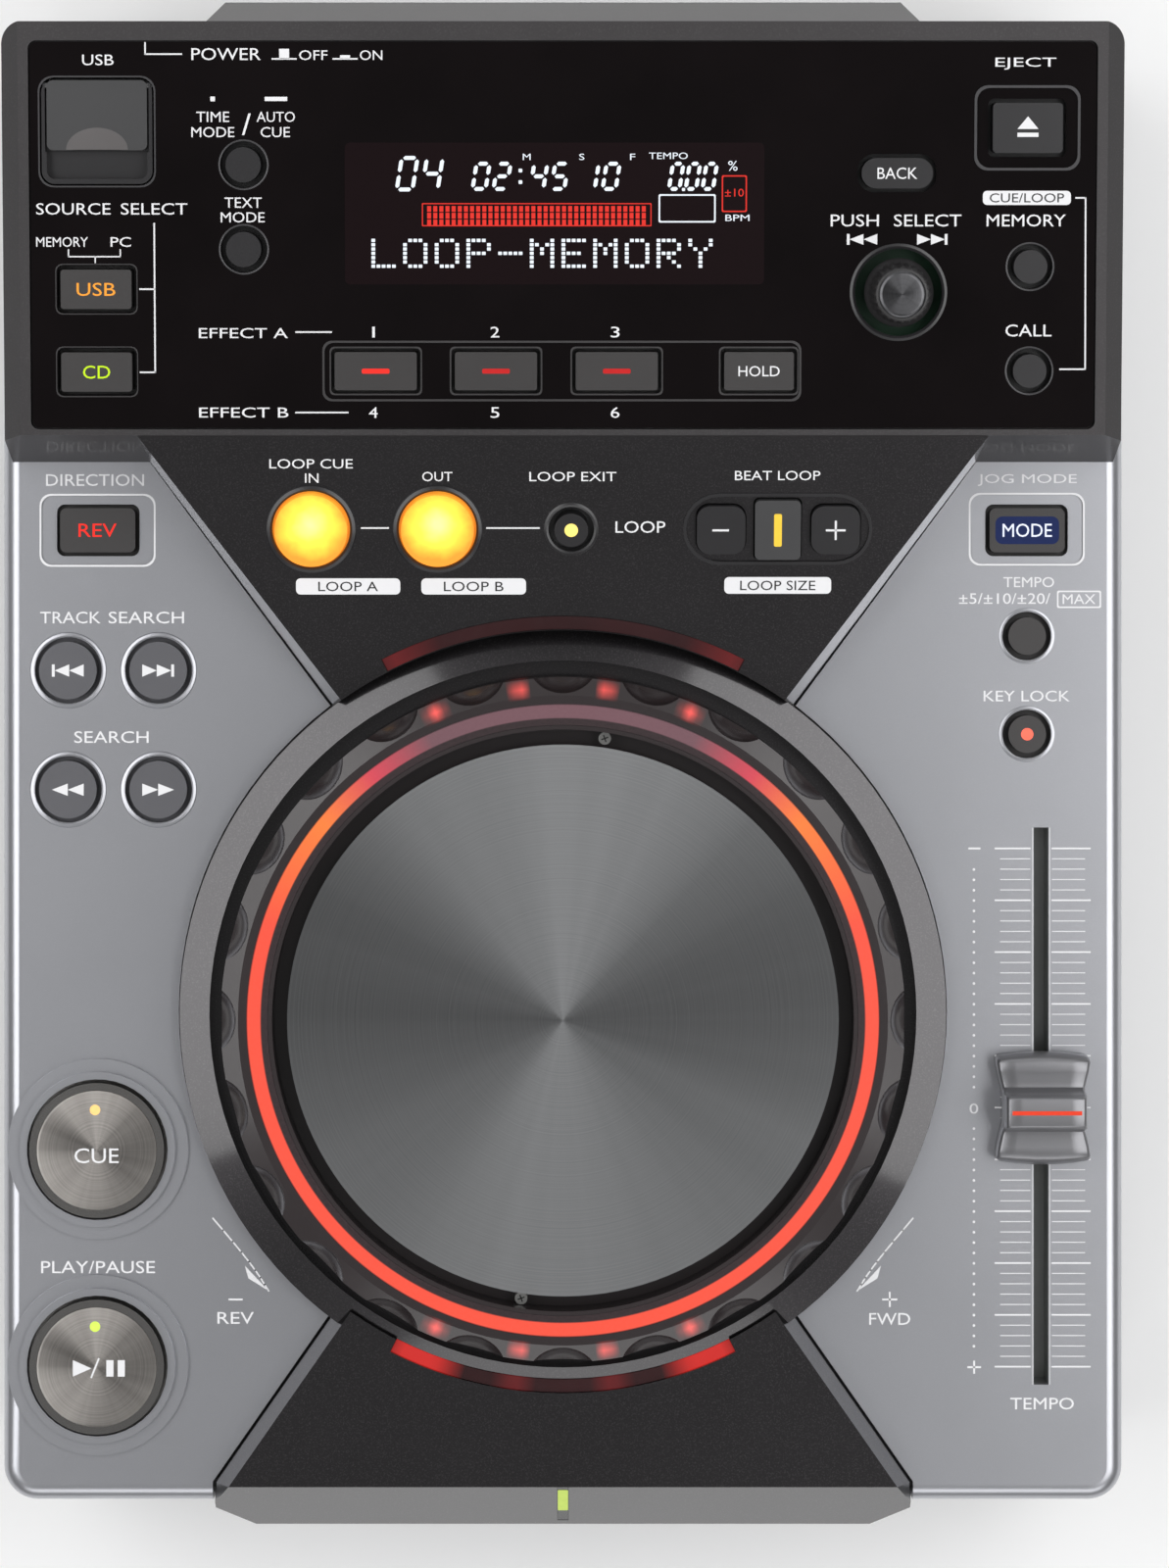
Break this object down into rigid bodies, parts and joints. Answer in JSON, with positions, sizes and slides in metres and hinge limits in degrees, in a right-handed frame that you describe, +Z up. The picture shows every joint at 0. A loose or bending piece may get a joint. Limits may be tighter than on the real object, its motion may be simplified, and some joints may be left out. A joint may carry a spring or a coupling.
{
  "type": "tabletop disc player",
  "caption": "Flat tabletop disc player for DJ use, with a large jog wheel, raised display hood, press keys, pitch fader, front disc slot and rear sockets.",
  "frame": {"origin": "centre of the player's footprint, on the surface that its feet stand on", "axes": "+X to the right as the user sees it, +Y to the rear, +Z up"},
  "size_m": [0.2184, 0.2972, 0.108],
  "materials": {
    "silver_case": "satin",
    "black_frame": "textured",
    "black_hood": "satin",
    "gloss_fascia": "gloss",
    "display_panel": "gloss",
    "circuit_board": "satin",
    "supply_board": "satin",
    "pan_steel": "matte",
    "rubber": "matte",
    "zinc_screw": "satin",
    "red_lens": "gloss",
    "lamp_lens": "gloss",
    "felt": "matte",
    "fader_steel": "satin",
    "drive_steel": "satin",
    "jack_plastic": "satin",
    "black_key": "satin",
    "grey_key": "satin",
    "orange_lens": "gloss",
    "spun_key": "spun",
    "clear_key": "gloss",
    "knob_black": "satin",
    "fader_knob": "satin",
    "smoky_lid": "gloss",
    "dial_silver": "gloss",
    "light_ring": "gloss",
    "spun_plate": "spun",
    "roller_rubber": "matte",
    "turntable_plastic": "satin",
    "sled_plastic": "matte"
  },
  "bodies": {
    "root": {"upper_case": "silver_case", "centre_frame": "black_frame", "display_hood": "black_hood", "base_pan": "pan_steel", "display_window": "gloss_fascia", "display_module": "display_panel", "key_boards": "circuit_board", "main_board": "circuit_board", "power_supply": "supply_board", "rear_jacks": "jack_plastic", "mains_inlet": "jack_plastic", "usb_socket": "jack_plastic", "rubber_feet": "rubber", "case_screws": "zinc_screw", "arc_lenses": "red_lens", "light_windows": "lamp_lens", "slot_brush": "felt", "fader_unit": "fader_steel", "drive_chassis": "drive_steel", "jog_base": "black_frame"},
    "time_key": {"time_key": "black_key"},
    "text_key": {"text_key": "black_key"},
    "usb_source_key": {"usb_source_key": "black_key"},
    "cd_source_key": {"cd_source_key": "black_key"},
    "effect_key_1": {"effect_key_1": "black_key"},
    "effect_key_2": {"effect_key_2": "black_key"},
    "effect_key_3": {"effect_key_3": "black_key"},
    "hold_key": {"hold_key": "black_key"},
    "back_key": {"back_key": "black_key"},
    "memory_key": {"memory_key": "black_key"},
    "call_key": {"call_key": "black_key"},
    "eject_key": {"eject_key": "black_key"},
    "loop_in_key": {"loop_in_key": "orange_lens"},
    "loop_out_key": {"loop_out_key": "orange_lens"},
    "loop_exit_key": {"loop_exit_key": "black_key"},
    "loop_minus_key": {"loop_minus_key": "black_key"},
    "loop_plus_key": {"loop_plus_key": "black_key"},
    "reverse_key": {"reverse_key": "clear_key"},
    "track_back_key": {"track_back_key": "grey_key"},
    "track_forward_key": {"track_forward_key": "grey_key"},
    "search_back_key": {"search_back_key": "grey_key"},
    "search_forward_key": {"search_forward_key": "grey_key"},
    "cue_key": {"cue_key": "spun_key"},
    "play_key": {"play_key": "spun_key"},
    "jog_mode_key": {"jog_mode_key": "clear_key"},
    "tempo_range_key": {"tempo_range_key": "grey_key"},
    "key_lock_key": {"key_lock_key": "grey_key"},
    "select_shaft": {"select_shaft": "zinc_screw"},
    "select_knob": {"select_knob": "knob_black"},
    "tempo_knob": {"tempo_knob": "fader_knob"},
    "power_button": {"power_button": "black_key"},
    "usb_lid": {"usb_lid": "smoky_lid"},
    "jog_dial": {"jog_dial": "dial_silver", "jog_light_ring": "light_ring", "jog_screws": "zinc_screw"},
    "jog_plate": {"jog_plate": "spun_plate"},
    "turntable": {"turntable": "turntable_plastic"},
    "pickup_sled": {"pickup_sled": "sled_plastic"},
    "lead_screw": {"lead_screw": "zinc_screw"},
    "loading_roller": {"loading_roller": "roller_rubber"}
  },
  "joints": [
    {"name": "time_key_press", "type": "slide", "parent": "root", "child": "time_key", "axis": [0, 0.0872, -0.9962], "range_m": [0, 0.0006], "stiffness_N_per_m": 400},
    {"name": "text_key_press", "type": "slide", "parent": "root", "child": "text_key", "axis": [0, 0.0872, -0.9962], "range_m": [0, 0.0006], "stiffness_N_per_m": 400},
    {"name": "usb_source_key_press", "type": "slide", "parent": "root", "child": "usb_source_key", "axis": [0, 0.0872, -0.9962], "range_m": [0, 0.0006], "stiffness_N_per_m": 400},
    {"name": "cd_source_key_press", "type": "slide", "parent": "root", "child": "cd_source_key", "axis": [0, 0.0872, -0.9962], "range_m": [0, 0.0006], "stiffness_N_per_m": 400},
    {"name": "effect_key_1_press", "type": "slide", "parent": "root", "child": "effect_key_1", "axis": [0, 0.0872, -0.9962], "range_m": [0, 0.0006], "stiffness_N_per_m": 400},
    {"name": "effect_key_2_press", "type": "slide", "parent": "root", "child": "effect_key_2", "axis": [0, 0.0872, -0.9962], "range_m": [0, 0.0006], "stiffness_N_per_m": 400},
    {"name": "effect_key_3_press", "type": "slide", "parent": "root", "child": "effect_key_3", "axis": [0, 0.0872, -0.9962], "range_m": [0, 0.0006], "stiffness_N_per_m": 400},
    {"name": "hold_key_press", "type": "slide", "parent": "root", "child": "hold_key", "axis": [0, 0.0872, -0.9962], "range_m": [0, 0.0006], "stiffness_N_per_m": 400},
    {"name": "back_key_press", "type": "slide", "parent": "root", "child": "back_key", "axis": [0, 0.0872, -0.9962], "range_m": [0, 0.0006], "stiffness_N_per_m": 400},
    {"name": "memory_key_press", "type": "slide", "parent": "root", "child": "memory_key", "axis": [0, 0.0872, -0.9962], "range_m": [0, 0.0006], "stiffness_N_per_m": 400},
    {"name": "call_key_press", "type": "slide", "parent": "root", "child": "call_key", "axis": [0, 0.0872, -0.9962], "range_m": [0, 0.0006], "stiffness_N_per_m": 400},
    {"name": "eject_key_press", "type": "slide", "parent": "root", "child": "eject_key", "axis": [0, 0.0872, -0.9962], "range_m": [0, 0.0006], "stiffness_N_per_m": 400},
    {"name": "loop_in_key_press", "type": "slide", "parent": "root", "child": "loop_in_key", "axis": [0, 0.2117, -0.9773], "range_m": [0, 0.0006], "stiffness_N_per_m": 400},
    {"name": "loop_out_key_press", "type": "slide", "parent": "root", "child": "loop_out_key", "axis": [0, 0.2117, -0.9773], "range_m": [0, 0.0006], "stiffness_N_per_m": 400},
    {"name": "loop_exit_key_press", "type": "slide", "parent": "root", "child": "loop_exit_key", "axis": [0, 0.2117, -0.9773], "range_m": [0, 0.0006], "stiffness_N_per_m": 400},
    {"name": "loop_minus_key_press", "type": "slide", "parent": "root", "child": "loop_minus_key", "axis": [0, 0.2117, -0.9773], "range_m": [0, 0.0006], "stiffness_N_per_m": 400},
    {"name": "loop_plus_key_press", "type": "slide", "parent": "root", "child": "loop_plus_key", "axis": [0, 0.2117, -0.9773], "range_m": [0, 0.0006], "stiffness_N_per_m": 400},
    {"name": "reverse_key_press", "type": "slide", "parent": "root", "child": "reverse_key", "axis": [0, 0, -1], "range_m": [0, 0.0006], "stiffness_N_per_m": 400},
    {"name": "track_back_key_press", "type": "slide", "parent": "root", "child": "track_back_key", "axis": [0, 0, -1], "range_m": [0, 0.0006], "stiffness_N_per_m": 400},
    {"name": "track_forward_key_press", "type": "slide", "parent": "root", "child": "track_forward_key", "axis": [0, 0, -1], "range_m": [0, 0.0006], "stiffness_N_per_m": 400},
    {"name": "search_back_key_press", "type": "slide", "parent": "root", "child": "search_back_key", "axis": [0, 0, -1], "range_m": [0, 0.0006], "stiffness_N_per_m": 400},
    {"name": "search_forward_key_press", "type": "slide", "parent": "root", "child": "search_forward_key", "axis": [0, 0, -1], "range_m": [0, 0.0006], "stiffness_N_per_m": 400},
    {"name": "cue_key_press", "type": "slide", "parent": "root", "child": "cue_key", "axis": [0, 0, -1], "range_m": [0, 0.0006], "stiffness_N_per_m": 400},
    {"name": "play_key_press", "type": "slide", "parent": "root", "child": "play_key", "axis": [0, 0, -1], "range_m": [0, 0.0006], "stiffness_N_per_m": 400},
    {"name": "jog_mode_key_press", "type": "slide", "parent": "root", "child": "jog_mode_key", "axis": [0, 0, -1], "range_m": [0, 0.0006], "stiffness_N_per_m": 400},
    {"name": "tempo_range_key_press", "type": "slide", "parent": "root", "child": "tempo_range_key", "axis": [0, 0, -1], "range_m": [0, 0.0006], "stiffness_N_per_m": 400},
    {"name": "key_lock_key_press", "type": "slide", "parent": "root", "child": "key_lock_key", "axis": [0, 0, -1], "range_m": [0, 0.0006], "stiffness_N_per_m": 400},
    {"name": "select_press", "type": "slide", "parent": "root", "child": "select_shaft", "axis": [0, 0.0872, -0.9962], "range_m": [0, 0.0007], "stiffness_N_per_m": 600},
    {"name": "select_turn", "type": "hinge", "parent": "select_shaft", "child": "select_knob", "pos_m": [0.0641, 0.0921, 0.09554], "axis": [0, -0.0872, 0.9962], "continuous": true},
    {"name": "tempo_slide", "type": "slide", "parent": "root", "child": "tempo_knob", "axis": [0, 1, 0], "range_m": [-0.0505, 0.0505]},
    {"name": "power_press", "type": "slide", "parent": "root", "child": "power_button", "axis": [0, -1, 0], "range_m": [0, 0.003], "stiffness_N_per_m": 300},
    {"name": "usb_lid_hinge", "type": "hinge", "parent": "root", "child": "usb_lid", "pos_m": [-0.0888, 0.13136, 0.09827], "axis": [-1, 0, 0], "range_deg": [0, 100]},
    {"name": "jog_turn", "type": "hinge", "parent": "root", "child": "jog_dial", "pos_m": [0, -0.047, 0.0957], "axis": [0, 0, 1], "continuous": true},
    {"name": "jog_plate_press", "type": "slide", "parent": "jog_dial", "child": "jog_plate", "axis": [0, 0, -1], "range_m": [0, 0.0006], "stiffness_N_per_m": 3000},
    {"name": "turntable_spin", "type": "hinge", "parent": "root", "child": "turntable", "pos_m": [0, -0.047, 0.0613], "axis": [0, 0, 1], "continuous": true},
    {"name": "sled_slide", "type": "slide", "parent": "root", "child": "pickup_sled", "axis": [0, 1, 0], "range_m": [0, 0.035]},
    {"name": "lead_screw_turn", "type": "hinge", "parent": "root", "child": "lead_screw", "pos_m": [0.034, 0, 0.05], "axis": [0, 1, 0], "range_deg": [0, 4210]},
    {"name": "roller_spin", "type": "hinge", "parent": "root", "child": "loading_roller", "pos_m": [0, -0.128, 0.0555], "axis": [1, 0, 0], "continuous": true}
  ],
  "couplings": [
    {"joint": "lead_screw_turn", "follows": "sled_slide", "rad_per_m": 2094.4}
  ]
}
